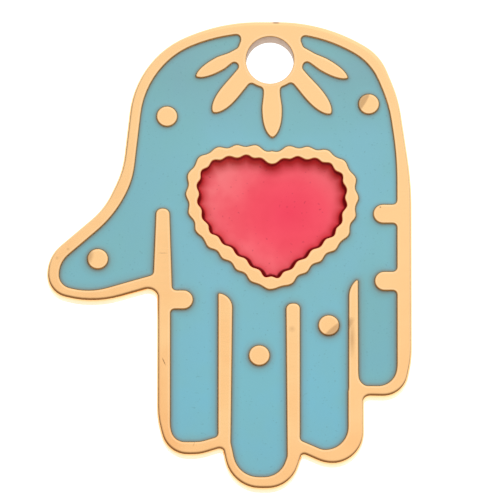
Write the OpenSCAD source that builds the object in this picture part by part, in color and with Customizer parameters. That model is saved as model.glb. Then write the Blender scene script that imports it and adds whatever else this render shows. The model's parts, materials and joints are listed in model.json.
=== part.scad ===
// Enamelled hamsa pendant, a cast hand worn with the fingers pointing down.
// Lengths are in millimetres. The pendant lies on its back: +Z is the enamelled
// face, +Y runs from the fingertips to the hanging hole, +X to the little finger.
// The origin is under the middle of the hand, in the plane of the back.

/* [Hand] */
// Width of the hand, from the tip of the thumb to the little finger
hand_w = 19; // [17:0.1:24]
// Height of the hand, from the top edge to the tip of the middle finger
hand_h = 24.8; // [22.6:0.1:30]
// Thickness of the cast plate
plate_t = 1.6; // [1.3:0.05:2.6]
// Mean width of the metal rim
rim_w = 0.62; // [0.45:0.01:0.8]

/* [Raised lines] */
// Width of the lines between the fingers
divider_w = 0.76; // [0.5:0.01:0.95]
// Width of the short palm creases
crease_w = 1.05; // [0.7:0.01:1.25]
// Length of the palm crease beside the thumb, from the rim
thumb_crease_l = 1.25; // [0.9:0.01:1.5]
// Length of the upper palm crease over the little finger, from the rim
palm_crease_l = 1.38; // [1:0.01:1.6]
// Diameter of the five raised dots
dot_d = 1.12; // [0.7:0.01:1.3]
// Radius left in the corners of the enamel cells
corner_r = 0.2; // [0.1:0.01:0.24]
// Radius in the lower corner of the little finger's cell, beside its line
little_r = 0.55; // [0.2:0.05:0.7]

/* [Hanging hole and rays] */
// Diameter of the hanging hole
hole_d = 2.5; // [1.8:0.1:2.8]
// Distance of the hole's centre below the top edge
hole_inset = 2.05; // [1.95:0.05:2.4]
// Width of the ring of metal beside the hole
ring_w = 0.53; // [0.4:0.01:0.7]
// How much lower than the middle of the ring the hole was drilled
hole_low = 0.23; // [0:0.01:0.25]
// Width of the web that joins the ring to the rim above it
web_w = 3.2; // [2.6:0.1:3.6]
// Length of the middle ray below the hole
ray_l = 2.68; // [2.2:0.02:2.9]
// Width of the middle ray at its widest
ray_w = 1.08; // [0.8:0.02:1.2]

/* [Heart] */
// Width of the heart, along the middle of its frame
heart_w = 8.4; // [7:0.01:9]
// Height of the heart, from its shoulders to its tip
heart_h = 7.13; // [6:0.01:7.6]
// Mean width of the heart's scalloped frame
frame_w = 0.6; // [0.4:0.01:0.65]
// How much wider the frame is on its lower flanks
flank_w = 0.06; // [0:0.01:0.1]
// Depth of the scallops on each side of the frame
scallop_h = 0.065; // [0.03:0.005:0.08]
// Number of scallops round the heart
scallops = 26; // [18:1:32]

/* [Enamel] */
// Depth of the recess that holds the turquoise enamel
cell_depth = 0.6; // [0.35:0.05:0.8]
// Drop from the polished lines to the turquoise enamel
cell_drop = 0.07; // [0.03:0.01:0.2]
// Depth of the recess that holds the red enamel
heart_depth = 1.05; // [0.7:0.05:1.1]
// Thickness of the red enamel on its floor
heart_fill = 0.35; // [0.2:0.05:0.6]
// Clearance between each enamel and the walls round it
gap = 0.02; // [0.01:0.005:0.04]

/* [Hidden] */

// Longest straight step along an arc of the outline
arc_step = 0.42;
// Straight steps along each scallop, each ray and the top of each divider
scallop_steps = 8;
ray_steps = 12;
cap_steps = 14;
// Sides of a full round
$fn = 48;

// How far a cut runs past the face that it opens
past = 1;

// Place across of the index finger's outer side, as a share of the hand's width
index_side = -0.1976;

// Corners of the hand, clockwise from the left of the top edge.
// Places are shares of the hand's width and height from its middle, and the
// radii outside and inside the rim are shares of the width. The rim is that of
// the edge which follows the corner, as a share of the mean rim.
// [across, up, radius, rim, inner radius]
HAND = [
    [0.2578, 0.5000, 0.462, 1.06, 0.430],
    [0.4140, 0.4296, 0.145, 0.99, 0.170],
    [0.4645, 0.3356, 0.393, 0.90, 0.360],
    [0.5000, 0.1524, 0.990, 1.24, 0.960],
    [0.5000, -0.2230, 0.275, 1.05, 0.120],
    [0.4785, -0.3030, 0.069, 0.82, 0.056],
    [0.3681, -0.3021, 0.018, 1.33, 0.018],
    [0.3681, -0.4464, 0.093, 1.12, 0.080],
    [0.2614, -0.4464, 0.110, 0.94, 0.055],
    [0.2001, -0.4258, 0.008, 1.14, 0.008],
    [0.1677, -0.5000, 0.088, 0.93, 0.060],
    [0.0052, -0.5000, 0.098, 0.79, 0.068],
    [-0.0192, -0.4131, 0.011, 0.98, 0.011],
    [-0.0816, -0.4277, 0.124, 1.04, 0.090],
    [-0.1701, -0.4277, 0.073, 0.86, 0.058],
    [index_side, -0.3519, 0.239, 1.11, 0.150],
    [index_side, -0.0665, 0.027, 0.98, 0.027],
    [-0.3733, -0.1054, 0.280, 0.80, 0.247],
    [-0.5000, -0.0805, 0.062, 1.00, 0.055],
    [-0.5000, -0.0054, 0.104, 1.07, 0.110],
    [-0.3433, 0.0983, 0.220, 1.12, 0.360],
    [-0.2930, 0.1803, 0.261, 0.95, 0.261],
    [-0.2639, 0.3723, 0.275, 0.98, 0.242],
    [-0.1666, 0.4528, 0.256, 0.95, 0.223],
    [-0.0154, 0.5000, 0.489, 1.05, 0.456]
];

// Lines that run up from the rim between the fingers, thumb side first.
// The two places across are those of the line's left side, at its top and at
// its foot, as shares of the hand's width. The places up are shares of its
// height. The widths, and the radii of the two shoulders, are shares of the
// mean line: a shoulder with a radius over one is cut off by the other side.
// [top left, foot left, top, foot, top width, foot width, left radius, right radius]
DIVIDERS = [
    [-0.2034, -0.2121, 0.0990, -0.0850, 1.00, 1.40, 0.45, 0.45],
    [-0.0320, -0.0325, -0.0830, -0.4800, 1.03, 0.90, 0.15, 1.05],
    [0.1545, 0.1580, -0.1050, -0.4800, 1.01, 0.92, 0.45, 0.40],
    [0.3270, 0.3257, -0.0425, -0.4000, 0.69, 0.76, 1.60, 0.25]
];

// Rounded creases that run in from the outer edge.
// [edge across, middle up, way in, length]
CREASES = [
    [index_side, -0.0980, 1, thumb_crease_l],
    [0.5, 0.0862, -1, palm_crease_l],
    [0.5, -0.0580, -1, 0.95 * palm_crease_l]
];

// Middles of the raised dots.
// [across, up]
DOTS = [
    [-0.172, 0.296],
    [0.3835, 0.3225],
    [-0.362, -0.0105],
    [0.082, -0.2175],
    [0.273, -0.153]
];

// Rays below the hole, thumb side first. Each starts on the ring at one
// angle and points along another, anticlockwise from +X. Length and width
// are shares of the middle ray's, and the neck is a share of the ray's width.
// [start angle, start radius, pointing angle, length, width, neck]
RAYS = [
    [177.3, 1.00, 209.3, 0.92, 0.74, 0.72],
    [217.4, 1.00, 230.5, 0.95, 0.96, 0.97],
    [271.6, 0.96, 270.8, 1.00, 1.01, 0.84],
    [322.0, 1.03, 310.6, 0.98, 0.92, 0.94],
    [0.8, 1.07, 330.0, 0.92, 0.71, 0.80]
];

// Shares of a ray's length at which its neck ends and at which it is widest
ray_neck = 0.1;
ray_belly = 0.42;
// Powers of the curve that draws the point of a ray
ray_point = [2.4, 0.6];
// Part of a ray that runs back into the ring, as a share of the ring's width
ray_root = 0.6;

// Place of the hole, and the place and radius of the ring round it. Both sit
// to the right of the hand's middle, and the hole was drilled a hair off centre.
hole_x = 0.1115 * hand_w;
hole_y = hand_h / 2 - hole_inset;
ring_x = 0.1137 * hand_w;
ring_y = hole_y + hole_low;
ring_r = hole_d / 2 + ring_w;

// Place of the heart, at the middle of its width and height
heart_x = 0.118 * hand_w;
heart_y = 0.0797 * hand_h;

// Middle line of the heart's frame, clockwise from the notch at the top.
// Places are shares of the heart's width and height from its middle, and
// the radius is a share of its width.
// [across, up, radius]
HEART = [
    [-0.002, 0.440, 0.062],
    [0.110, 0.490, 0.200],
    [0.347, 0.465, 0.250],
    [0.477, 0.326, 0.187],
    [0.502, 0.104, 0.281],
    [0.434, -0.137, 0.237],
    [0.001, -0.541, 0.137],
    [-0.419, -0.134, 0.237],
    [-0.500, 0.082, 0.375],
    [-0.497, 0.330, 0.218],
    [-0.377, 0.475, 0.237],
    [-0.121, 0.501, 0.206]
];

// Heights of the floors and of the enamels that lie on them
cell_floor = plate_t - cell_depth;
cell_top = plate_t - cell_drop;
heart_floor = plate_t - heart_depth;
heart_top = heart_floor + heart_fill;

// Item of a list that is read round and round
function turn(list, i) = list[(i + len(list)) % len(list)];

// Direction from one point to another, of length one
function aim(p, q) = (q - p) / norm(q - p);

// A direction turned a quarter to the right
function right(d) = [d.y, -d.x];

// Half the angle by which a line turns at q, on its way from p to r
function half_turn(p, q, r) = acos(min(1, max(-1, aim(p, q) * aim(q, r)))) / 2;

// Which way it turns there: 1 to the right, -1 to the left
function hand_of(p, q, r) = sign(right(aim(p, q)) * aim(q, r));

// Length of straight line that the round at corner i takes from each side
function cut_of(points, radii, i) =
    radii[i] * tan(half_turn(turn(points, i - 1), points[i], turn(points, i + 1)));

// Share of its cut that fits on the side from corner i to the next
function fit_of(points, cuts, i) =
    min(1, norm(turn(points, i + 1) - points[i]) / (cuts[i] + turn(cuts, i + 1) + 0.001));

// The round at one corner, which takes a given length from each side, in
// steps of no more than an arc step and ten degrees
function corner_arc(p, q, r, cut) =
    let(half = half_turn(p, q, r), radius = cut / max(0.0001, tan(half)))
    let(side = hand_of(p, q, r), start = q - aim(p, q) * cut)
    let(centre = start + right(aim(p, q)) * radius * side)
    let(steps = max(1, ceil(radius * half * 2 * PI / 180 / arc_step), ceil(half / 5)))
    [for (k = [0:steps])
        let(a = -side * 2 * half * k / steps, d = start - centre)
        centre + [d.x * cos(a) - d.y * sin(a), d.x * sin(a) + d.y * cos(a)]];

// A closed outline through corners with the given radii
function rounded(points, radii) =
    let(n = len(points), cuts = [for (i = [0:n - 1]) cut_of(points, radii, i)])
    let(fits = [for (i = [0:n - 1]) fit_of(points, cuts, i)])
    [for (i = [0:n - 1])
        let(cut = cuts[i] * min(fits[i], turn(fits, i - 1)))
        each corner_arc(turn(points, i - 1), points[i], turn(points, i + 1), cut)];

// Where two lines meet, each given by a point and a direction
function crossing(p, d, q, e) = p + d * (right(e) * (q - p)) / (right(e) * d);

// Corners of the hand at full size
HAND_POINTS = [for (c = HAND) [c[0] * hand_w, c[1] * hand_h]];

// Corner of the enamelled field, a rim's width inside corner i of the hand
function field_point(i) =
    let(p = turn(HAND_POINTS, i - 1), q = HAND_POINTS[i], r = turn(HAND_POINTS, i + 1))
    let(before = turn(HAND, i - 1)[3] * rim_w, after = HAND[i][3] * rim_w)
    crossing(q + right(aim(p, q)) * before, aim(p, q), q + right(aim(q, r)) * after, aim(q, r));

// Outline of the whole hand
module hand_shape() {
    polygon(rounded(HAND_POINTS, [for (c = HAND) c[2] * hand_w]));
}

// The face inside the rim, before the raised lines cross it
module field_shape() {
    corners = [for (i = [0:len(HAND) - 1]) i];
    polygon(rounded([for (i = corners) field_point(i)], [for (c = HAND) c[4] * hand_w]));
}

// How far a shoulder has dropped at a given distance in from its side
function shoulder(in, radius) = in < radius ? radius - sqrt(pow(radius, 2) - pow(radius - in, 2)) : 0;

// One line between two fingers, with its own round at each shoulder
module divider_shape(row) {
    top_w = row[4] * divider_w;
    foot_w = row[5] * divider_w;
    left = row[0] * hand_w;
    foot_left = row[1] * hand_w;
    foot = row[3] * hand_h;
    cap = [for (k = [0:cap_steps])
        let(in = top_w * (1 - cos(180 * k / cap_steps)) / 2)
        let(drop = shoulder(in, row[6] * divider_w) + shoulder(top_w - in, row[7] * divider_w))
        [left + in, row[2] * hand_h - drop]];
    polygon(concat(cap, [[foot_left + foot_w, foot], [foot_left, foot]]));
}

// Round in the lower corner of the little finger's cell, between the right
// side of the last line and the bottom rim
module little_corner() {
    side = DIVIDERS[3][1] * hand_w + DIVIDERS[3][5] * divider_w;
    bottom = HAND[5][1] * hand_h + HAND[5][3] * rim_w;
    translate([side, bottom])
        difference() {
            translate([-corner_r, -corner_r]) square(little_r + corner_r);
            translate([little_r, little_r]) circle(little_r);
        }
}

// One crease, a bar with a round end
module crease_shape(row) {
    edge = row[0] * hand_w;
    tip = edge + row[2] * (rim_w + row[3] - crease_w / 2);
    translate([tip, row[1] * hand_h]) circle(d = crease_w);
    translate([min(edge, tip), row[1] * hand_h - crease_w / 2]) square([abs(tip - edge), crease_w]);
}

// Half width of a ray at a share of its length, as a share of the full half:
// a narrow neck that swells to the belly, and then a curved point
function ray_half(t, neck) =
    t < ray_belly
        ? neck + (1 - neck) * (1 - cos(180 * max(0, t - ray_neck) / (ray_belly - ray_neck))) / 2
        : pow(1 - pow((t - ray_belly) / (1 - ray_belly), ray_point[0]), ray_point[1]);

// One pointed ray
module ray_shape(row) {
    length = row[3] * ray_l;
    half = row[4] * ray_w / 2;
    neck = row[5];
    back = -ray_root * ring_w;
    shares = [for (k = [0:ray_steps]) sin(90 * k / ray_steps)];
    right_side = [for (t = shares) [length * t, -half * ray_half(t, neck)]];
    left_side = [for (k = [ray_steps - 1:-1:0]) [length * shares[k], half * ray_half(shares[k], neck)]];
    root = [[back, half * neck], [back, -half * neck]];
    start = ring_r * row[1];
    translate([start * cos(row[0]), start * sin(row[0])])
        rotate(row[2])
            polygon(concat(root, right_side, left_side));
}

// Ring round the hole, its web up to the rim, and the rays below it
module sun_shape() {
    translate([ring_x, ring_y]) {
        circle(r = ring_r);
        translate([-web_w / 2, 0]) square([web_w, hand_h / 2 - ring_y]);
        for (row = RAYS) ray_shape(row);
    }
}

// Middle line of the heart's frame at full size
HEART_POINTS = [for (c = HEART) [c[0] * heart_w, c[1] * heart_h]];
HEART_LINE = rounded(HEART_POINTS, [for (c = HEART) c[2] * heart_w]);

// The run along that line up to each of its points
HEART_RUN = [
    for (i = 0, run = 0;
        i <= len(HEART_LINE);
        run = run + norm(turn(HEART_LINE, i + 1) - turn(HEART_LINE, i)), i = i + 1)
    run
];
heart_run = HEART_RUN[len(HEART_LINE)];
HEART_X = [for (i = [0:len(HEART_LINE)]) [HEART_RUN[i], turn(HEART_LINE, i).x]];
HEART_Y = [for (i = [0:len(HEART_LINE)]) [HEART_RUN[i], turn(HEART_LINE, i).y]];

// The run up to the middle of the notch
notch_run = HEART[0][2] * heart_w * PI / 180
    * half_turn(turn(HEART_POINTS, -1), HEART_POINTS[0], HEART_POINTS[1]);

// Point of the heart's middle line after a given run from the notch
function heart_at(run) =
    let(s = (run + heart_run) % heart_run)
    [lookup(s, HEART_X), lookup(s, HEART_Y)];

// How far a direction points down a flank: one at its most, none sideways,
// straight down or up
function flank_share(d) = abs(d.x) * pow(min(0, d.y), 2) * 1.5 * sqrt(3);

// Edge of the scalloped frame, with side 1 outside the middle line and -1
// inside, moved away from the frame by a clearance. The outside swells a
// little on the lower flanks.
function scalloped(side, clear) =
    let(n = scallops * scallop_steps)
    [for (k = [0:n - 1])
        let(run = notch_run + heart_run * k / n, reach = frame_w / 3)
        let(out = -right(aim(heart_at(run - reach), heart_at(run + reach))))
        let(swell = side > 0 ? flank_w * flank_share(out) : 0)
        let(half = frame_w / 2 + swell + scallop_h * cos(360 * k / scallop_steps) + clear)
        heart_at(run) + out * half * side];

// Outline of the heart, outside or inside its frame
module heart_shape(side, clear) {
    translate([heart_x, heart_y]) polygon(scalloped(side, clear));
}

// The field less the lines that are joined to the rim, with its corners filled
module palm_shape() {
    offset(r = corner_r) offset(delta = -corner_r)
        difference() {
            field_shape();
            for (row = DIVIDERS) divider_shape(row);
            little_corner();
            for (row = CREASES) crease_shape(row);
            sun_shape();
        }
}

// The turquoise recess round the dots and the heart, or with a clearance the
// enamel that fills it
module cell_shape(clear) {
    difference() {
        offset(delta = -clear) palm_shape();
        for (row = DOTS) translate([row[0] * hand_w, row[1] * hand_h]) circle(d = dot_d + 2 * clear);
        heart_shape(1, clear);
    }
}

// Cast plate with both recesses and the hanging hole
module gold_plate() {
    color("#f5c58a")
        difference() {
            linear_extrude(plate_t) hand_shape();
            translate([0, 0, cell_floor]) linear_extrude(cell_depth + past) cell_shape(0);
            translate([0, 0, heart_floor]) linear_extrude(heart_depth + past) heart_shape(-1, 0);
            translate([hole_x, hole_y, -past]) cylinder(d = hole_d, h = plate_t + 2 * past);
        }
}

// Turquoise enamel, one fill that runs round all the raised lines
module turquoise_enamel() {
    color("#80b9c6")
        translate([0, 0, cell_floor])
            linear_extrude(cell_top - cell_floor)
                cell_shape(gap);
}

// Red enamel, sunk deep inside the heart
module heart_enamel() {
    color("#ee5462")
        translate([0, 0, heart_floor])
            linear_extrude(heart_top - heart_floor)
                heart_shape(-1, gap);
}

gold_plate();
turquoise_enamel();
heart_enamel();
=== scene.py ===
import json
import math

import bmesh
import bpy
import numpy as np
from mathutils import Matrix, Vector, geometry, kdtree


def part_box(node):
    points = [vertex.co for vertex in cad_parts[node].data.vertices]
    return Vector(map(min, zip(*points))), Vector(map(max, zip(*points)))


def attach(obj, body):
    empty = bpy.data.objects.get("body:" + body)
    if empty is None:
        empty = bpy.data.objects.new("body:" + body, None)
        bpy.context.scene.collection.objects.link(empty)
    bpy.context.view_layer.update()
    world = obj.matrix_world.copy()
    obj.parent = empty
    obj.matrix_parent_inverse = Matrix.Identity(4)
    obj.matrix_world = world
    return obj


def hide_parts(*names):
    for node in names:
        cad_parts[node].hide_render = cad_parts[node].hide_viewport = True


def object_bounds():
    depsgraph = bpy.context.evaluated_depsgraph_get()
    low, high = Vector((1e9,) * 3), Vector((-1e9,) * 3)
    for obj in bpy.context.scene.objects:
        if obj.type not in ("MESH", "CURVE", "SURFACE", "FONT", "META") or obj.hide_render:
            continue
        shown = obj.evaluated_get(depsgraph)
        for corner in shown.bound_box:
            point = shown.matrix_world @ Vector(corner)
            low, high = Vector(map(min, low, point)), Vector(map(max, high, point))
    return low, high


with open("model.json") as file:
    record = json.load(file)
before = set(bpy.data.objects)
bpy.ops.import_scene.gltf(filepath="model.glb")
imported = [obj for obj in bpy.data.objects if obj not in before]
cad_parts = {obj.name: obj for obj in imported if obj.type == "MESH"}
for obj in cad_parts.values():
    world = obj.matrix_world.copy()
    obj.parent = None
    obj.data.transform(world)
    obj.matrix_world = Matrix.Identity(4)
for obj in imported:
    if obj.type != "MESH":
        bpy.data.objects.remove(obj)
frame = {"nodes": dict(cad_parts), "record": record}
cad_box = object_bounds()

# The plate is one flat brass casting. The lines between the enamels are the same
# metal, left standing where the recesses were sunk into the face. It is tumbled
# and polished until its edges are round, then plated with pink gold.
MM = 0.001
# Corners and heights that differ by less than this, in metres, are the same.
SAME = 1e-6


def outlines(node, height):
    """Closed outlines, in millimetres, of the flat faces of a CAD node at one height, metal on the left."""
    shape = bmesh.new()
    shape.from_mesh(frame["nodes"][node].data)
    bmesh.ops.remove_doubles(shape, verts=shape.verts, dist=SAME)
    flat = [face for face in shape.faces if all(abs(v.co.z - height) < SAME for v in face.verts)]
    level = set(flat)
    follow = {}
    for face in flat:
        for corner in face.loops:
            if sum(other in level for other in corner.edge.link_faces) == 1:
                follow[corner.vert] = corner.link_loop_next.vert
    loops = []
    while follow:
        chain = [next(iter(follow))]
        step = follow.pop(chain[0])
        while step is not chain[0]:
            chain.append(step)
            step = follow.pop(step)
        loops.append(np.array([v.co.xy for v in chain]) / MM)
    shape.free()
    return loops


# Straights longer than this are cut up first, so that the curve keeps to them.
# Each span between two corners is then drawn with this many points.
LONGEST_STRAIGHT = 0.4
SPAN_POINTS = 8


def smooth(loop, step):
    """A closed curve through the corners of an outline, given by points an even step apart."""
    kept = [loop[0]]
    for point in loop:
        if min(np.linalg.norm(point - kept[-1]), np.linalg.norm(point - kept[0])) > step / 2:
            kept.append(point)
    corners = []
    for here, there in zip(kept, kept[1:] + kept[:1]):
        parts = math.ceil(np.linalg.norm(there - here) / LONGEST_STRAIGHT)
        corners += [here + (there - here) * k / parts for k in range(parts)]
    here = np.array(corners)
    before, after, beyond = (np.roll(here, shift, 0) for shift in (1, -1, -2))
    a, b, c = (np.sqrt(np.linalg.norm(q - p, axis=1))[:, None]
               for p, q in ((before, here), (here, after), (after, beyond)))
    leave = b * ((here - before) / a - (after - before) / (a + b) + (after - here) / b)
    reach = b * ((after - here) / b - (beyond - here) / (b + c) + (beyond - after) / c)
    u = np.linspace(0, 1, SPAN_POINTS, endpoint=False)[:, None, None]
    fine = (2 * u**3 - 3 * u**2 + 1) * here + (u**3 - 2 * u**2 + u) * leave
    fine = fine + (3 * u**2 - 2 * u**3) * after + (u**3 - u**2) * reach
    fine = fine.transpose(1, 0, 2).reshape(-1, 2)
    fine = np.vstack([fine, fine[:1]])
    run = np.append(0, np.cumsum(np.linalg.norm(np.diff(fine, axis=0), axis=1)))
    count = round(run[-1] / step)
    at = np.arange(count) * run[-1] / count
    return np.column_stack([np.interp(at, run, fine[:, axis]) for axis in (0, 1)])


def beside(loop, distance):
    """The points of a closed curve, moved a distance to its left."""
    along = np.roll(loop, -1, 0) - np.roll(loop, 1, 0)
    along /= np.linalg.norm(along, axis=1)[:, None]
    return loop + np.column_stack([-along[:, 1], along[:, 0]]) * distance


# A point of a ring is left out where an outline is nearer than this share of the
# ring's depth. Points closer than TOUCHING, in millimetres, become one, and only
# what lies inside an outline is kept.
NEARLY = 0.98
TOUCHING = 1e-5
INSIDE_ONLY = 1


def sheet(loops, depths, grid):
    """A flat triangulation between outlines, with rings of points beside them on their left.

    It gives the points, each triangle with how many outlines hold it, and each outline's points.
    """
    tree = kdtree.KDTree(sum(len(loop) for loop in loops))
    for number, point in enumerate(np.vstack(loops)):
        tree.insert((*point, 0), number)
    tree.balance()
    points = [tuple(p) for p in np.vstack(loops)]
    edges = []
    faces = []
    starts = []
    start = 0
    for loop in loops:
        starts.append(start)
        ring = list(range(start, start + len(loop)))
        start += len(loop)
        edges += zip(ring, ring[1:] + ring[:1])
        x, y = loop.T
        turns_left = np.sum(x * np.roll(y, -1) - y * np.roll(x, -1)) > 0
        faces.append(ring if turns_left else ring[::-1])
    for loop in loops:
        for depth in depths:
            last = None
            for point in beside(loop, depth):
                if tree.find((*point, 0))[2] < depth * NEARLY:
                    last = None
                    continue
                points.append(tuple(point))
                if last is not None:
                    edges.append((last, len(points) - 1))
                last = len(points) - 1
    # The grid keeps a third of its step clear of the last ring, and every other row is shifted by half.
    clear = max(depths) + grid / 3
    low, high = np.vstack(loops).min(0), np.vstack(loops).max(0)
    for x in np.arange(low[0] + grid / 2, high[0], grid):
        for row, y in enumerate(np.arange(low[1] + grid / 2, high[1], grid)):
            point = (x + (row % 2) * grid / 2, y)
            if tree.find((*point, 0))[2] > clear:
                points.append(point)
    found, _, cells, came_from, _, held_by = geometry.delaunay_2d_cdt(
        [Vector(p) for p in points], edges, faces, INSIDE_ONLY, TOUCHING)
    place = {old: new for new, olds in enumerate(came_from) for old in olds}
    triangles = [(tuple(cell), len(holders)) for cell, holders in zip(cells, held_by)]
    rims = [[place[number] for number in range(start, start + len(loop))]
            for start, loop in zip(starts, loops)]
    return np.array([p[:] for p in found]), triangles, rims


def closed_mesh(name, layers, walls):
    """A closed mesh from flat layers and walls, as a new object.

    A layer is (points, triangles, height), and a wall (upper layer, lower layer, upper rim, lower rim).
    """
    vertices = []
    faces = []
    starts = []
    for points, triangles, height in layers:
        starts.append(len(vertices))
        vertices += [(x * MM, y * MM, height) for x, y in points]
        faces += [tuple(starts[-1] + k for k in triangle) for triangle in triangles]
    for upper, lower, upper_rim, lower_rim in walls:
        high = [starts[upper] + k for k in upper_rim]
        low = [starts[lower] + k for k in lower_rim]
        faces += zip(low, low[1:] + low[:1], high[1:] + high[:1], high)
    shape = bmesh.new()
    corners = [shape.verts.new(v) for v in vertices]
    for face in faces:
        shape.faces.new([corners[k] for k in face])
    bmesh.ops.delete(shape, geom=[v for v in shape.verts if not v.link_faces], context="VERTS")
    mesh = bpy.data.meshes.new(name)
    shape.to_mesh(mesh)
    shape.free()
    piece = bpy.data.objects.new(name, mesh)
    bpy.context.scene.collection.objects.link(piece)
    return piece


def add(tree, kind, inputs=None, stops=None, **settings):
    """Adds a node to a tree, with its settings, its ramp's stops, and the values or links of its inputs."""
    node = tree.nodes.new(kind)
    for name, value in settings.items():
        setattr(node, name, value)
    for socket, value in (inputs or {}).items():
        if isinstance(value, bpy.types.NodeSocket):
            tree.links.new(value, node.inputs[socket])
        else:
            node.inputs[socket].default_value = value
    if stops:
        ramp = node.color_ramp.elements
        for at, shade in stops[1:-1]:
            ramp.new(at)
        for element, (at, shade) in zip(ramp, stops):
            element.position = at
            element.color = shade
    return node.outputs


def colour(text):
    """An sRGB hex colour as linear red, green, blue and alpha."""
    parts = [int(text[k:k + 2], 16) / 255 for k in (1, 3, 5)]
    return tuple(p / 12.92 if p <= 0.04045 else ((p + 0.055) / 1.055) ** 2.4 for p in parts) + (1.0,)


def named_tree(name, inputs):
    """A geometry tree with a mesh input and output and the named inputs, and the sockets they give."""
    tree = bpy.data.node_groups.new(name, "GeometryNodeTree")
    tree.interface.new_socket("Geometry", in_out="INPUT", socket_type="NodeSocketGeometry")
    for label, kind in inputs.items():
        tree.interface.new_socket(label, in_out="INPUT", socket_type=kind)
    tree.interface.new_socket("Geometry", in_out="OUTPUT", socket_type="NodeSocketGeometry")
    return tree, add(tree, "NodeGroupInput")


def finished(piece, tree, values):
    """Runs a geometry tree on a piece with the given inputs, and keeps the result as a plain mesh."""
    modifier = piece.modifiers.new(tree.name, "NODES")
    modifier.node_group = tree
    for item in tree.interface.items_tree:
        if item.item_type == "SOCKET" and item.in_out == "INPUT" and item.name in values:
            modifier[item.identifier] = values[item.name]
    bpy.context.view_layer.update()
    evaluated = piece.evaluated_get(bpy.context.evaluated_depsgraph_get())
    mesh = bpy.data.meshes.new_from_object(evaluated)
    piece.modifiers.clear()
    piece.data = mesh


# An edge that turns outward by more than CONVEX is an arris, and one that turns
# by more than CREASE either way is shaded sharp. Both are in radians.
CONVEX = 1.0
CREASE = 0.7


def measured(tree, given):
    """What both geometry trees read from a mesh.

    It gives the angles at its edges, and each point's distance from the nearest arris, its slight
    wave, and whether it lies above the middle height.
    """
    angles = add(tree, "GeometryNodeInputMeshEdgeAngle")
    arris = add(tree, "FunctionNodeCompare", {0: angles["Signed Angle"], 1: CONVEX},
                operation="GREATER_THAN")[0]
    arrises = add(tree, "GeometryNodeSeparateGeometry",
                  {"Geometry": given["Geometry"], "Selection": arris}, domain="EDGE")["Selection"]
    away = add(tree, "GeometryNodeProximity", {0: arrises}, target_element="EDGES")["Distance"]
    place = add(tree, "GeometryNodeInputPosition")[0]
    place_z = add(tree, "ShaderNodeSeparateXYZ", {0: place})["Z"]
    upper = add(tree, "ShaderNodeMath", {0: place_z, 1: given["Middle height"]}, operation="GREATER_THAN")[0]
    wave = add(tree, "ShaderNodeTexNoise",
               {"Vector": place, "W": given["Seed"], "Scale": given["Waves per metre"], "Detail": 1.0},
               noise_dimensions="4D")[0]
    swing = add(tree, "ShaderNodeMath", {0: wave, 1: -0.5}, operation="ADD")[0]
    return angles, away, swing, upper


def dressed(tree, given, shape, angles):
    """Shades a tree's mesh, sets its material and gives the tree its output."""
    rounded = add(tree, "GeometryNodeSetShadeSmooth", {0: shape, "Shade Smooth": True}, domain="FACE")[0]
    crease = add(tree, "FunctionNodeCompare", {0: angles["Unsigned Angle"], 1: CREASE},
                 operation="GREATER_THAN")[0]
    creased = add(tree, "GeometryNodeSetShadeSmooth",
                  {0: rounded, "Selection": crease, "Shade Smooth": False}, domain="EDGE")[0]
    real = add(tree, "GeometryNodeRealizeInstances", {0: creased})[0]
    clad = add(tree, "GeometryNodeSetMaterial", {0: real, "Material": given["Material"]})[0]
    add(tree, "NodeGroupOutput", {0: clad})


# Rounds the arrises of a block with flat faces: a point nearer to one than its
# own radius, the attribute "round", drops along a quarter circle. The faces also
# get the slight waves that polishing leaves, and the mesh keeps "arris", each
# point's distance from the nearest one, for the material.
rounding, given = named_tree("rounded_arrises", {
    "Material": "NodeSocketMaterial",
    "Middle height": "NodeSocketFloat",
    "Wave height": "NodeSocketFloat",
    "Waves per metre": "NodeSocketFloat",
    "Seed": "NodeSocketFloat",
})
angles, away, swing, on_face = measured(rounding, given)
radius = add(rounding, "GeometryNodeInputNamedAttribute", {"Name": "round"}, data_type="FLOAT")[0]
short = add(rounding, "ShaderNodeMapRange", {0: away, 1: 0.0, 2: radius, 3: 1.0, 4: 0.0})[0]
turn = add(rounding, "ShaderNodeMath", {0: short}, operation="ARCSINE")[0]
stand = add(rounding, "ShaderNodeMath", {0: turn}, operation="COSINE")[0]
drop = add(rounding, "ShaderNodeMath", {0: stand, 1: -1.0}, operation="ADD")[0]
upward = add(rounding, "ShaderNodeMath", {0: on_face, 1: 2.0, 2: -1.0}, operation="MULTIPLY_ADD")[0]
reach = add(rounding, "ShaderNodeMath", {0: radius, 1: upward}, operation="MULTIPLY")[0]
swell = add(rounding, "ShaderNodeMath", {0: swing, 1: given["Wave height"]}, operation="MULTIPLY")[0]
lift = add(rounding, "ShaderNodeMath", {0: drop, 1: reach, 2: swell}, operation="MULTIPLY_ADD")[0]
kept = add(rounding, "GeometryNodeStoreNamedAttribute",
           {"Geometry": given["Geometry"], "Name": "arris", "Value": away},
           data_type="FLOAT", domain="POINT")[0]
offset = add(rounding, "ShaderNodeCombineXYZ", {"Z": lift})[0]
moved = add(rounding, "GeometryNodeSetPosition", {"Geometry": kept, "Offset": offset})[0]
dressed(rounding, given, moved, angles)

face_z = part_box("gold_plate")[1].z
cell_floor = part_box("turquoise_enamel")[0].z
heart_low, heart_high = (np.array(corner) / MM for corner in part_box("heart_enamel"))
hole = next(mount for mount in frame["record"]["mounts"] if mount["name"] == "hang_hole")
hole_at = np.array(hole["pos_m"][:2]) / MM
hole_r = hole["dims"]["r_mm"]

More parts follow.
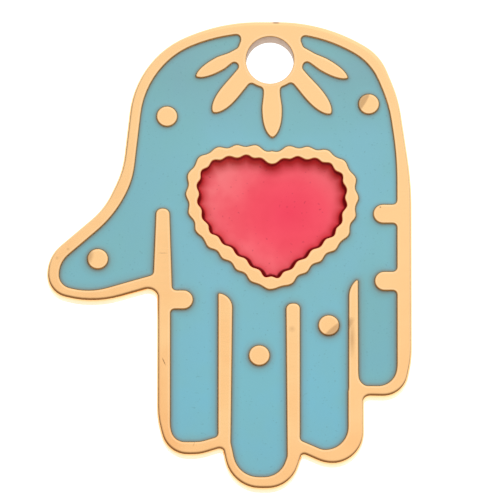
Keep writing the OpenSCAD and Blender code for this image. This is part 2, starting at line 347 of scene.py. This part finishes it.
# Marks of wear on the face: a scratch on the index finger, a nick at the top,
# smudges and small pits. The last three rows are painted shade on the sides of three dots.
# Lengths are in millimetres and turns in degrees.
# [across, up, half length, half width, turn, share that fades, strength]
WEAR_AND_DOT_SHADE = [
    [-3.416, -5.72, 0.26, 0.030, -66, 0.5, 0.7],
    [2.43, 12.36, 0.26, 0.060, -2, 0.5, 0.8],
    [6.40, -4.50, 1.15, 0.20, 90, 0.9, 0.30],
    [3.27, -3.99, 0.22, 0.22, 0, 0.9, 0.2],
    [-3.47, 0.05, 0.30, 0.025, 0, 0.5, 0.35],
    [-1.85, -10.11, 0.15, 0.025, 70, 0.5, 0.3],
    [-8.43, 0.266, 0.10, 0.10, 0, 0.8, 0.25],
    [-9.00, -0.21, 0.12, 0.12, 0, 0.8, 0.2],
    [7.886, 2.50, 0.06, 0.05, 0, 0.5, 0.6],
    [6.80, 8.27, 1.30, 0.42, 60, 0.2, 0.38],
    [-7.48, -0.10, 0.60, 0.42, 75, 0.45, 0.34],
    [5.56, -4.22, 1.30, 0.42, 41, 0.25, 0.36],
]
MARK_DEPTH = 0.25
# Sizes of the patterns in the metal, in millimetres. The wheel really leaves 30
# lines to the millimetre. Those are too fine to show, so they are drawn four
# times as wide.
CLOUD = 1 / 0.38
WHEEL_LINE = 4 / 30
WHEEL_LINE_LENGTH = 5 / 3
WHEEL_LINE_HEIGHT = 0.002
WHEEL_TURN = math.radians(35)
# The painted highlight, a pale ring inside the arrises, lies within this distance of an arris, in
# millimetres.
EDGE_HIGHLIGHT_REACH = 0.25
# The grey of the drilled wall, which is partly painted shade, is full up to the
# first of these distances outside the hole's radius, and gone at the second.
DRILLED_AND_SHADED = (0.002, 0.01)
# A mapping stretched this far along an axis no longer feels that axis.
ENDLESS = 1000

# In every material, a Map Range reads from sockets 1 to 2 and gives 3 to 4. A Mix
# has two colours in 6 and 7 and gives output 2, or it has two numbers in 2 and 3.

# Pink gold plating over polished brass: a tight, warm mirror that is a little
# clouded by handling, redder at the thumb, paler towards the hanging hole and,
# as a painted highlight, in a ring just inside the arrises, with the fine lines
# of the polishing wheel.
plating = bpy.data.materials.new("pink_gold_plating")
plating.use_nodes = True
gilt = plating.node_tree
gilt.nodes.clear()
on_plate = add(gilt, "ShaderNodeTexCoord")["Object"]
across = add(gilt, "ShaderNodeSeparateXYZ", {0: on_plate})
side = add(gilt, "ShaderNodeMapRange", {0: across["X"], 1: -9 * MM, 2: 6 * MM})[0]
tone = add(gilt, "ShaderNodeMix", {0: side, 6: colour("#f5b778"), 7: colour("#fec587")}, data_type="RGBA")[2]
cloud = add(gilt, "ShaderNodeTexNoise", {"Vector": on_plate, "Scale": 1 / (CLOUD * MM), "Detail": 3.0})[0]
cloudy = add(gilt, "ShaderNodeMapRange", {0: cloud, 1: 0.35, 2: 0.65, 3: 0.0, 4: 0.7})[0]
paler = add(gilt, "ShaderNodeMapRange", {0: across["Y"], 1: -10 * MM, 2: 6 * MM, 3: 0.0, 4: 0.55})[0]
toned = add(gilt, "ShaderNodeMix", {0: paler, 6: tone, 7: colour("#ffd9a0")}, data_type="RGBA")[2]
clouded = add(gilt, "ShaderNodeMix", {0: cloudy, 6: toned, 7: colour("#fed095")}, data_type="RGBA")[2]
# Painted highlight: the plating is paler in a ring just inside each arris.
from_arris = add(gilt, "ShaderNodeAttribute", attribute_name="arris")["Fac"]
near_arris = add(gilt, "ShaderNodeMapRange", {0: from_arris, 1: 0.0, 2: EDGE_HIGHLIGHT_REACH * MM})[0]
edge_highlight_ring = add(gilt, "ShaderNodeValToRGB", {0: near_arris}, stops=[
    (0.25, (0, 0, 0, 1)), (0.42, (1, 1, 1, 1)), (0.65, (0, 0, 0, 1))])[0]
edge_highlight_share = add(gilt, "ShaderNodeMath", {0: edge_highlight_ring, 1: 0.25}, operation="MULTIPLY")[0]
edge_highlighted = add(gilt, "ShaderNodeMix", {0: edge_highlight_share, 6: clouded, 7: colour("#ffe9c6")}, data_type="RGBA")[2]
wear_and_dot_shade = 0.0
# Each mark mixes the plating towards dark brown; the last three rows paint shade on the dots.
for mark_x, mark_y, length, width, angle, fading, strength in WEAR_AND_DOT_SHADE:
    inside = add(gilt, "ShaderNodeMapping", {
        "Vector": on_plate,
        "Location": (mark_x * MM, mark_y * MM, face_z),
        "Rotation": (0, 0, math.radians(angle)),
        "Scale": (length * MM, width * MM, MARK_DEPTH * MM),
    }, vector_type="TEXTURE")[0]
    far = add(gilt, "ShaderNodeVectorMath", {0: inside}, operation="LENGTH")["Value"]
    mark = add(gilt, "ShaderNodeMapRange", {0: far, 1: 1 - fading, 2: 1.0, 3: strength, 4: 0.0})[0]
    wear_and_dot_shade = add(gilt, "ShaderNodeMath", {0: wear_and_dot_shade, 1: mark}, operation="MAXIMUM")[0]
# The drill left the wall of the hole matt, and its grey is partly the bare metal and partly painted shade.
hole_axis = add(gilt, "ShaderNodeMapping", {
    "Vector": on_plate,
    "Location": (*hole_at * MM, 0),
    "Scale": (MM, MM, ENDLESS),
}, vector_type="TEXTURE")[0]
from_axis = add(gilt, "ShaderNodeVectorMath", {0: hole_axis}, operation="LENGTH")["Value"]
drilled_and_shaded = add(gilt, "ShaderNodeMapRange",
              {0: from_axis, 1: hole_r + DRILLED_AND_SHADED[0], 2: hole_r + DRILLED_AND_SHADED[1], 3: 1.0, 4: 0.0})[0]
bored_and_shaded = add(gilt, "ShaderNodeMix", {0: drilled_and_shaded, 6: edge_highlighted, 7: colour("#b0937a")}, data_type="RGBA")[2]
plated = add(gilt, "ShaderNodeMix", {0: wear_and_dot_shade, 6: bored_and_shaded, 7: colour("#6b3d1c")}, data_type="RGBA")[2]
wheel = add(gilt, "ShaderNodeMapping", {
    "Vector": on_plate,
    "Rotation": (0, 0, WHEEL_TURN),
    "Scale": (1 / (WHEEL_LINE_LENGTH * MM), 1 / (WHEEL_LINE * MM), 1 / (WHEEL_LINE_LENGTH * MM)),
})[0]
lines = add(gilt, "ShaderNodeTexNoise", {"Vector": wheel, "Scale": 1.0, "Detail": 3.0})[0]
brushed = add(gilt, "ShaderNodeBump",
              {"Strength": 0.25, "Distance": WHEEL_LINE_HEIGHT * MM, "Height": lines})[0]
haze = add(gilt, "ShaderNodeMapRange", {0: lines, 1: 0.3, 2: 0.8, 3: 0.13, 4: 0.24})[0]
dull = add(gilt, "ShaderNodeMath", {0: drilled_and_shaded, 1: wear_and_dot_shade}, operation="MAXIMUM")[0]
matt = add(gilt, "ShaderNodeMath", {0: dull, 1: 0.3, 2: haze}, operation="MULTIPLY_ADD")[0]
gold = add(gilt, "ShaderNodeBsdfPrincipled", {
    "Base Color": plated,
    "Metallic": 1.0,
    "Roughness": matt,
    "Normal": brushed,
})[0]
add(gilt, "ShaderNodeOutputMaterial", {"Surface": gold})

# The widest outline is the hand's own. It stands a hair proud of the drawn one,
# and more so where it faces the fingertips' side, because the rounding makes the
# hand look smaller there.
OUTLINE_STEP = 0.06
STANDS_PROUD = 0.03
LOWER_PROUD = 0.045
rings = [smooth(loop, OUTLINE_STEP) for loop in outlines("gold_plate", face_z)]
rings.sort(key=lambda loop: -np.ptp(loop[:, 0]))
outward = rings[0] - beside(rings[0], 1)
hand = rings[0] = rings[0] + outward * STANDS_PROUD + np.minimum(outward, 0) * (0, LOWER_PROUD)


def off_heart(loop):
    """How far an outline's box is from that of the heart's enamel."""
    return np.abs(loop.min(0) - heart_low[:2]).sum() + np.abs(loop.max(0) - heart_high[:2]).sum()


hole_ring = min(rings, key=lambda loop: np.linalg.norm(loop.mean(0) - hole_at))
heart_ring = min(rings, key=off_heart)
cell_rings = [loop for loop in rings if not any(loop is other for other in (hand, hole_ring, heart_ring))]

# Radii of the arrises, in millimetres. On the face, tumbling rounds the outside
# of the hand most, and the hole and the heart's deep frame least.
OUTER_EDGE = 0.23
BACK_EDGE = 0.45
CELL_EDGE = 0.1
HEART_EDGE = 0.05
HOLE_EDGE = 0.04
# A rounding has a ring of points at each of these angles. The grids inside have
# these steps, in millimetres.
EDGE_ANGLES = [math.radians(15 * k) for k in range(1, 7)]
METAL_GRID = 0.15
BACK_GRID = 0.5
points, triangles, rims = sheet([hand, hole_ring, heart_ring] + cell_rings,
                                [OUTER_EDGE * (1 - math.cos(a)) for a in EDGE_ANGLES], METAL_GRID)
back_points, back_triangles, back_rims = sheet(
    [hand, hole_ring], [BACK_EDGE * (1 - math.cos(a)) for a in EDGE_ANGLES], BACK_GRID)
# Metal is held by one outline or three, the heart's floor by four, and both the
# turquoise's floor and the open hole by two. A triangle is in the hole where its
# middle is within the hole's radius times this margin.
HOLE_MARGIN = 1.01
FACE, CELLS, HEART, BACK = range(4)
in_cell = [t for t, held in triangles
           if held == 2 and np.linalg.norm(points[list(t)].mean(0) - hole_at) > hole_r * HOLE_MARGIN]
plate = closed_mesh("plate", [
    (points, [t for t, held in triangles if held % 2], face_z),
    (points, in_cell, cell_floor),
    (points, [t for t, held in triangles if held == 4], heart_low[2] * MM),
    (back_points, [t[::-1] for t, held in back_triangles if held == 1], 0.0),
], [
    (FACE, BACK, rims[0], back_rims[0]),
    (FACE, BACK, rims[1], back_rims[1]),
    (FACE, HEART, rims[2], rims[2]),
] + [(FACE, CELLS, rim, rim) for rim in rims[3:]])
# Each point takes the radius of the outline that it is nearest to.
own_radius = plate.data.attributes.new("round", "FLOAT", "POINT").data
for upper, edges in (
    (True, [(hand, OUTER_EDGE), (hole_ring, HOLE_EDGE), (heart_ring, HEART_EDGE)]
     + [(loop, CELL_EDGE) for loop in cell_rings]),
    (False, [(hand, BACK_EDGE), (hole_ring, HOLE_EDGE)]),
):
    radii = [edge for loop, edge in edges for point in loop]
    nearest = kdtree.KDTree(len(radii))
    for number, point in enumerate(np.vstack([loop for loop, edge in edges])):
        nearest.insert((*point * MM, 0), number)
    nearest.balance()
    for vertex, value in zip(plate.data.vertices, own_radius):
        if (vertex.co.z > face_z / 2) == upper:
            value.value = radii[nearest.find((*vertex.co.xy, 0))[1]] * MM
finished(plate, rounding, {
    "Material": plating,
    "Middle height": face_z / 2,
    "Wave height": 0.004 * MM,
    "Waves per metre": 300.0,
    "Seed": 3.0,
})
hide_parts("gold_plate")
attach(plate, "root")

# The turquoise enamel is one opaque fill, poured round all the raised lines
# and baked. It climbs a little where it wets the metal, and the thin edge there
# lets the dark brass show through; the brown edge is also partly painted shade.

# The fill keeps this far from the walls. Its top has rings of points at these
# depths, where it curves, and a grid inside them.
ENAMEL_CLEAR = 0.003
HALO_RINGS = [0.03, 0.07, 0.12, 0.18, 0.26, 0.38, 0.52]
ENAMEL_GRID = 0.3
TOP, FLOOR = range(2)

# Turns the flat top of a fill into a poured one: it stands at its level away
# from the walls, rises to them along a curve and has slight waves. The mesh
# keeps "wall", each point's distance from the nearest wall, for the material.
pour, given = named_tree("poured_top", {
    "Material": "NodeSocketMaterial",
    "Middle height": "NodeSocketFloat",
    "Level": "NodeSocketFloat",
    "Rise": "NodeSocketFloat",
    "Reach": "NodeSocketFloat",
    "Wave height": "NodeSocketFloat",
    "Waves per metre": "NodeSocketFloat",
    "Seed": "NodeSocketFloat",
})
angles, away, swing, on_top = measured(pour, given)
share = add(pour, "ShaderNodeMath", {0: away, 1: given["Reach"]}, operation="DIVIDE")[0]
minus = add(pour, "ShaderNodeMath", {0: share, 1: -1.0}, operation="MULTIPLY")[0]
fall = add(pour, "ShaderNodeMath", {0: minus}, operation="EXPONENT")[0]
climb = add(pour, "ShaderNodeMath", {0: fall, 1: given["Rise"], 2: given["Level"]},
            operation="MULTIPLY_ADD")[0]
height = add(pour, "ShaderNodeMath", {0: swing, 1: given["Wave height"], 2: climb},
             operation="MULTIPLY_ADD")[0]
offset = add(pour, "ShaderNodeCombineXYZ", {"Z": height})[0]
kept = add(pour, "GeometryNodeStoreNamedAttribute",
           {"Geometry": given["Geometry"], "Name": "wall", "Value": away},
           data_type="FLOAT", domain="POINT")[0]
moved = add(pour, "GeometryNodeSetPosition", {"Geometry": kept, "Selection": on_top, "Offset": offset})[0]
dressed(pour, given, moved, angles)

# Sizes of the mottling and of the specks of grit, and how far the brown edge,
# partly painted shade, reaches in from a wall, in millimetres.
MOTTLE = 1 / 0.42
GRIT = 1 / 9
BROWN_AND_SHADE_EDGE = 0.55

# Opaque turquoise enamel: smooth as glass, faintly mottled, with a few dark
# specks. Painted shade makes it greener towards the hanging hole, the thumb and
# the little finger. It is brown at its very edge, partly where the thin enamel
# shows the brass and partly as painted shade, and the brown reaches further in
# over the fingers.
turquoise = bpy.data.materials.new("turquoise_enamel")
turquoise.use_nodes = True
glaze = turquoise.node_tree
glaze.nodes.clear()
on_glaze = add(glaze, "ShaderNodeTexCoord")["Object"]
on_axes = add(glaze, "ShaderNodeSeparateXYZ", {0: on_glaze})
up = on_axes["Y"]
# Painted shade: the colour changes with height, greener and greyer by the hanging hole.
up_share = add(glaze, "ShaderNodeMapRange", {0: up, 1: cad_box[0][1], 2: cad_box[1][1]})[0]
painted_height_shade = add(glaze, "ShaderNodeValToRGB", {0: up_share}, stops=[
    (0.0, colour("#7fcce2")), (0.2, colour("#81d4ed")), (0.45, colour("#89d3e7")), (0.75, colour("#8bd3e5")),
    (0.88, colour("#8ac6d2")), (1.0, colour("#90cbd6"))])[0]
mottle = add(glaze, "ShaderNodeTexNoise", {"Vector": on_glaze, "Scale": 1 / (MOTTLE * MM), "Detail": 3.0})[0]
palm = add(glaze, "ShaderNodeMapRange", {0: up, 1: -1 * MM, 2: 3 * MM})[0]
# Painted shade: greener over the thumb and the little finger.
finger = add(glaze, "ShaderNodeMapRange", {0: up, 1: 0.0, 2: -2 * MM, 3: 0.0, 4: 0.6})[0]
right = add(glaze, "ShaderNodeMapRange", {0: on_axes["X"], 1: 6 * MM, 2: 7 * MM})[0]
little = add(glaze, "ShaderNodeMath", {0: right, 1: finger}, operation="MULTIPLY")[0]
thumb = add(glaze, "ShaderNodeMapRange", {0: on_axes["X"], 1: -1 * MM, 2: -5 * MM, 3: 0.0, 4: 0.42})[0]
outer_finger_shade = add(glaze, "ShaderNodeMath", {0: little, 1: thumb}, operation="ADD")[0]
shaded = add(glaze, "ShaderNodeMix", {0: outer_finger_shade, 6: painted_height_shade, 7: colour("#80c4cf")}, data_type="RGBA")[2]
patches = add(glaze, "ShaderNodeMapRange", {0: mottle, 1: 0.4, 2: 0.65, 3: 0.0, 4: 0.3})[0]
mottled = add(glaze, "ShaderNodeMix", {0: patches, 6: shaded, 7: colour("#87d0d1")}, data_type="RGBA")[2]
grit = add(glaze, "ShaderNodeTexNoise", {"Vector": on_glaze, "Scale": 1 / (GRIT * MM), "Detail": 0.0})[0]
specks = add(glaze, "ShaderNodeMapRange", {0: grit, 1: 0.77, 2: 0.82, 3: 0.0, 4: 0.2})[0]
specked = add(glaze, "ShaderNodeMix", {0: specks, 6: mottled, 7: colour("#4f8f9b")}, data_type="RGBA")[2]
# The brown edge is partly the brass under thin enamel and partly painted shade beside the walls.
from_wall = add(glaze, "ShaderNodeAttribute", attribute_name="wall")["Fac"]
near_wall = add(glaze, "ShaderNodeMapRange", {0: from_wall, 1: 0.0, 2: BROWN_AND_SHADE_EDGE * MM})[0]
palm_edge_cover = add(glaze, "ShaderNodeValToRGB", {0: near_wall}, stops=[
    (0.0, (0.2, 0.2, 0.2, 1)), (0.05, (0.4, 0.4, 0.4, 1)), (0.14, (0.75, 0.75, 0.75, 1)),
    (0.33, (0.95, 0.95, 0.95, 1)), (0.5, (1, 1, 1, 1))])[0]
finger_edge_cover = add(glaze, "ShaderNodeValToRGB", {0: near_wall}, stops=[
    (0.0, (0.1, 0.1, 0.1, 1)), (0.05, (0.25, 0.25, 0.25, 1)), (0.14, (0.5, 0.5, 0.5, 1)),
    (0.33, (0.82, 0.82, 0.82, 1)), (0.7, (0.96, 0.96, 0.96, 1)), (1.0, (1, 1, 1, 1))])[0]
cover = add(glaze, "ShaderNodeMix", {0: palm, 2: finger_edge_cover, 3: palm_edge_cover}, data_type="FLOAT")[0]
edged_and_shaded = add(glaze, "ShaderNodeMix", {0: cover, 6: colour("#84775d"), 7: specked}, data_type="RGBA")[2]
enamel = add(glaze, "ShaderNodeBsdfPrincipled", {
    "Base Color": edged_and_shaded,
    "Roughness": 0.18,
    "IOR": 1.5,
})[0]
add(glaze, "ShaderNodeOutputMaterial", {"Surface": enamel})

points, triangles, rims = sheet([beside(loop[::-1], ENAMEL_CLEAR) for loop in cell_rings],
                                HALO_RINGS, ENAMEL_GRID)
fill = [t for t, held in triangles if held == 1]
turquoise_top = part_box("turquoise_enamel")[1].z
turquoise_fill = closed_mesh("turquoise_fill", [
    (points, fill, turquoise_top),
    (points, [t[::-1] for t in fill], cell_floor),
], [(TOP, FLOOR, rim, rim) for rim in rims])
finished(turquoise_fill, pour, {
    "Material": turquoise,
    "Middle height": (turquoise_top + cell_floor) / 2,
    "Level": -0.035 * MM,
    "Rise": 0.035 * MM,
    "Reach": 0.15 * MM,
    "Wave height": 0.006 * MM,
    "Waves per metre": 250.0,
    "Seed": 5.0,
})
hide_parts("turquoise_enamel")
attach(turquoise_fill, "root")

# The heart's enamel is a clear red one, poured shallow over a bright floor so
# that the metal lights it from below. It climbs the scalloped wall, and the
# maroon along that wall is partly its thickness there and partly painted shade.
HEART_RINGS = [0.03, 0.06, 0.1, 0.15, 0.22, 0.3, 0.4, 0.52, 0.66]
HEART_GRID = 0.25
# The painted highlight: how far its centre is off the middle of the heart, and its half axes.
# The veil and the bubbles: their sizes. All are in millimetres.
HIGHLIGHT_OFF = (0.9, 0.3)
HIGHLIGHT_AXES = (4.2, 3.6)
VEIL = 1 / 0.6
BUBBLE = 1 / 7
# How far from the wall the maroon, partly painted shade, ends, at the heart's
# tip and from its middle up, and the share of it that is left along the top. It
# narrows to that share between these distances below the top.
BAND = (0.34, 0.6)
TOP_SHARE = 0.32
TOP_BAND = (2.0, 0.7)
# The maroon is full up to this far from the wall, at the tip and at the top. Past
# that it is darkest up to the first distance of LIP, and red from the second.
FLANK = (0.215, -0.02)
LIP = (0.03, 0.1)

# Translucent crimson enamel over bright metal: glassy on top, glowing inside,
# with a painted highlight that makes it pinker towards the index finger, a thin
# veil and fine bubbles, and matt where it climbs the wall. It is maroon along
# the wall, partly from its thickness there and partly as painted shade, in a band
# that is widest at mid height and thin along the top, and that starts further in below.
crimson = bpy.data.materials.new("crimson_enamel")
crimson.use_nodes = True
ruby = crimson.node_tree
ruby.nodes.clear()
on_heart = add(ruby, "ShaderNodeTexCoord")["Object"]
heart_middle = (heart_low + heart_high) / 2
# Painted highlight: paler pink away from a point right of the heart's middle.
spread = add(ruby, "ShaderNodeMapping", {
    "Vector": on_heart,
    "Location": ((heart_middle[0] + HIGHLIGHT_OFF[0]) * MM, (heart_middle[1] + HIGHLIGHT_OFF[1]) * MM, 0),
    "Scale": (HIGHLIGHT_AXES[0] * MM, HIGHLIGHT_AXES[1] * MM, ENDLESS),
}, vector_type="TEXTURE")[0]
from_middle = add(ruby, "ShaderNodeVectorMath", {0: spread}, operation="LENGTH")["Value"]
pink_highlight = add(ruby, "ShaderNodeValToRGB", {0: from_middle}, stops=[
    (0.0, colour("#fa4662")), (0.45, colour("#fe576a")), (1.0, colour("#ff7f84"))])[0]
veil = add(ruby, "ShaderNodeTexNoise", {"Vector": on_heart, "Scale": 1 / (VEIL * MM), "Detail": 4.0})[0]
veiled = add(ruby, "ShaderNodeMapRange", {0: veil, 1: 0.4, 2: 0.65, 3: 0.0, 4: 0.5})[0]
streaked = add(ruby, "ShaderNodeMix", {0: veiled, 6: pink_highlight, 7: colour("#f5485c")}, data_type="RGBA")[2]
bubbles = add(ruby, "ShaderNodeTexNoise", {"Vector": on_heart, "Scale": 1 / (BUBBLE * MM), "Detail": 0.0})[0]
dots = add(ruby, "ShaderNodeMapRange", {0: bubbles, 1: 0.77, 2: 0.84, 3: 0.0, 4: 0.35})[0]
dotted = add(ruby, "ShaderNodeMix", {0: dots, 6: streaked, 7: colour("#b81c38")}, data_type="RGBA")[2]
# The maroon along the wall is partly the thicker enamel and partly painted shade.
from_wall = add(ruby, "ShaderNodeAttribute", attribute_name="wall")["Fac"]
heart_up = add(ruby, "ShaderNodeSeparateXYZ", {0: on_heart})["Y"]
broad = add(ruby, "ShaderNodeMapRange", {
    0: heart_up,
    1: heart_low[1] * MM,
    2: heart_middle[1] * MM,
    3: BAND[0] * MM,
    4: BAND[1] * MM,
})[0]
squeeze = add(ruby, "ShaderNodeMapRange", {
    0: heart_up,
    1: (heart_high[1] - TOP_BAND[0]) * MM,
    2: (heart_high[1] - TOP_BAND[1]) * MM,
    3: 1.0,
    4: TOP_SHARE,
})[0]
band = add(ruby, "ShaderNodeMath", {0: broad, 1: squeeze}, operation="MULTIPLY")[0]
flank = add(ruby, "ShaderNodeMapRange", {
    0: heart_up,
    1: heart_low[1] * MM,
    2: heart_high[1] * MM,
    3: FLANK[0] * MM,
    4: FLANK[1] * MM,
})[0]
near_wall = add(ruby, "ShaderNodeMapRange", {0: from_wall, 1: flank, 2: band})[0]
depth = add(ruby, "ShaderNodeValToRGB", {0: near_wall}, stops=[
    (0.0, (0, 0, 0, 1)), (0.1, (0.2, 0.2, 0.2, 1)), (0.27, (0.55, 0.55, 0.55, 1)),
    (0.5, (0.82, 0.82, 0.82, 1)), (1.0, (1, 1, 1, 1))])[0]
past_flank = add(ruby, "ShaderNodeMath", {0: from_wall, 1: flank}, operation="SUBTRACT")[0]
lip = add(ruby, "ShaderNodeMapRange", {0: past_flank, 1: LIP[0] * MM, 2: LIP[1] * MM})[0]
maroon = add(ruby, "ShaderNodeMix", {0: lip, 6: colour("#8a0306"), 7: colour("#e01a22")}, data_type="RGBA")[2]
deepened_and_shaded = add(ruby, "ShaderNodeMix", {0: depth, 6: maroon, 7: dotted}, data_type="RGBA")[2]
clearer = add(ruby, "ShaderNodeMapRange", {0: from_wall, 1: 0.1 * MM, 2: 0.7 * MM, 3: 0.85, 4: 0.32})[0]
red = add(ruby, "ShaderNodeBsdfPrincipled", {
    "Base Color": deepened_and_shaded,
    "Metallic": 0.75,
    "Roughness": clearer,
    "IOR": 1.5,
    "Specular IOR Level": 0.2,
    "Coat Weight": 0.15,
    "Coat Roughness": 0.05,
})[0]
add(ruby, "ShaderNodeOutputMaterial", {"Surface": red})

points, triangles, rims = sheet([beside(heart_ring[::-1], ENAMEL_CLEAR)], HEART_RINGS, HEART_GRID)
fill = [t for t, held in triangles if held == 1]
red_fill = closed_mesh("red_fill", [
    (points, fill, heart_high[2] * MM),
    (points, [t[::-1] for t in fill], heart_low[2] * MM),
], [(TOP, FLOOR, rims[0], rims[0])])
finished(red_fill, pour, {
    "Material": crimson,
    "Middle height": (heart_high[2] + heart_low[2]) / 2 * MM,
    "Level": 0.0,
    "Rise": 0.6 * MM,
    "Reach": 0.08 * MM,
    "Wave height": 0.01 * MM,
    "Waves per metre": 300.0,
    "Seed": 8.0,
})
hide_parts("heart_enamel")
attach(red_fill, "root")

# The camera looks down on the enamelled face from the fingertips' side, with
# a long lens from a metre away. The lens takes in the same width as the photo,
# and its middle is a little right of the hand's and above it.
ELEVATION = math.radians(78.7)
DISTANCE = 1.0
SENSOR = 36
FRAME_PX = 500
PX_PER_MM = 19.147
RIGHT_PX = 20.6
ABOVE_PX = 4.0
FRAME_MM = FRAME_PX / PX_PER_MM
RIGHT_OF_HAND = RIGHT_PX / PX_PER_MM
ABOVE_HAND = ABOVE_PX / (PX_PER_MM * math.sin(ELEVATION))
camera_data = bpy.data.cameras.new("camera")
camera_data.sensor_width = SENSOR
camera_data.lens = SENSOR * DISTANCE / (FRAME_MM * MM)
camera = bpy.data.objects.new("camera", camera_data)
bpy.context.scene.collection.objects.link(camera)
bpy.context.scene.camera = camera
aim_at = Vector((RIGHT_OF_HAND * MM, ABOVE_HAND * MM, face_z))
towards = Vector((0, -math.cos(ELEVATION), math.sin(ELEVATION)))
camera.location = aim_at + towards * DISTANCE
camera.rotation_euler = (-towards).to_track_quat("-Z", "Y").to_euler()

# The floor is a sheet of white acrylic, two metres wide. It is lit from below so
# that it stays white.
HALF = 1
floor_mesh = bpy.data.meshes.new("floor")
floor_mesh.from_pydata([(-HALF, -HALF, 0), (HALF, -HALF, 0), (HALF, HALF, 0), (-HALF, HALF, 0)],
                       [], [(0, 1, 2, 3)])
floor = bpy.data.objects.new("floor", floor_mesh)
bpy.context.scene.collection.objects.link(floor)
# Opal white acrylic: its glow drowns every shadow, and it has no shine.
acrylic = bpy.data.materials.new("white_acrylic")
acrylic.use_nodes = True
acrylic.node_tree.nodes.clear()
glow = add(acrylic.node_tree, "ShaderNodeBsdfPrincipled", {
    "Base Color": (0.12, 0.12, 0.12, 1),
    "Roughness": 0.8,
    "Specular IOR Level": 0.0,
    "Emission Color": (1, 1, 1, 1),
    "Emission Strength": 1.25,
})[0]
add(acrylic.node_tree, "ShaderNodeOutputMaterial", {"Surface": glow})
floor_mesh.materials.append(acrylic)

# A light tent that leans back: its bright roof reaches down to the floor
# behind the hand, past the hanging hole, and leaves the side of the fingertips
# dim and brown. One soft lamp stands behind the hand, a little to its right.

# The roof and the lamp each have a direction, and the cosines of the angles from
# it at which they begin and are full. The cloth's colours are linear light.
ROOF_TOWARDS = (0.15, 0.6, 0.78)
ROOF_SPAN = (0.08, 0.74)
LAMP_TOWARDS = (0.17, 0.65, 0.74)
LAMP_SPAN = (0.9, 0.97)
LAMP_GAIN = 0.16
CLOTH_LOW = (0.27, 0.18, 0.1, 1)
CLOTH_ROOF = (1.02, 1.02, 1.02, 1)
world = bpy.data.worlds.new("light_tent")
bpy.context.scene.world = world
world.use_nodes = True
tent = world.node_tree
tent.nodes.clear()
direction = add(tent, "ShaderNodeTexCoord")["Generated"]
lean = add(tent, "ShaderNodeVectorMath", {0: direction, 1: ROOF_TOWARDS},
           operation="DOT_PRODUCT")["Value"]
roof = add(tent, "ShaderNodeMapRange", {0: lean, 1: ROOF_SPAN[0], 2: ROOF_SPAN[1]},
           interpolation_type="SMOOTHSTEP")[0]
facing = add(tent, "ShaderNodeVectorMath", {0: direction, 1: LAMP_TOWARDS},
             operation="DOT_PRODUCT")["Value"]
lamp = add(tent, "ShaderNodeMapRange", {0: facing, 1: LAMP_SPAN[0], 2: LAMP_SPAN[1], 3: 0.0, 4: LAMP_GAIN},
           interpolation_type="SMOOTHSTEP")[0]
cloth = add(tent, "ShaderNodeMix", {0: roof, 6: CLOTH_LOW, 7: CLOTH_ROOF}, data_type="RGBA")[2]
level = add(tent, "ShaderNodeMath", {0: lamp, 1: 1.0}, operation="ADD")[0]
background = add(tent, "ShaderNodeBackground", {"Color": cloth, "Strength": level})[0]
add(tent, "ShaderNodeOutputWorld", {0: background})
bpy.context.scene.view_settings.view_transform = "Standard"
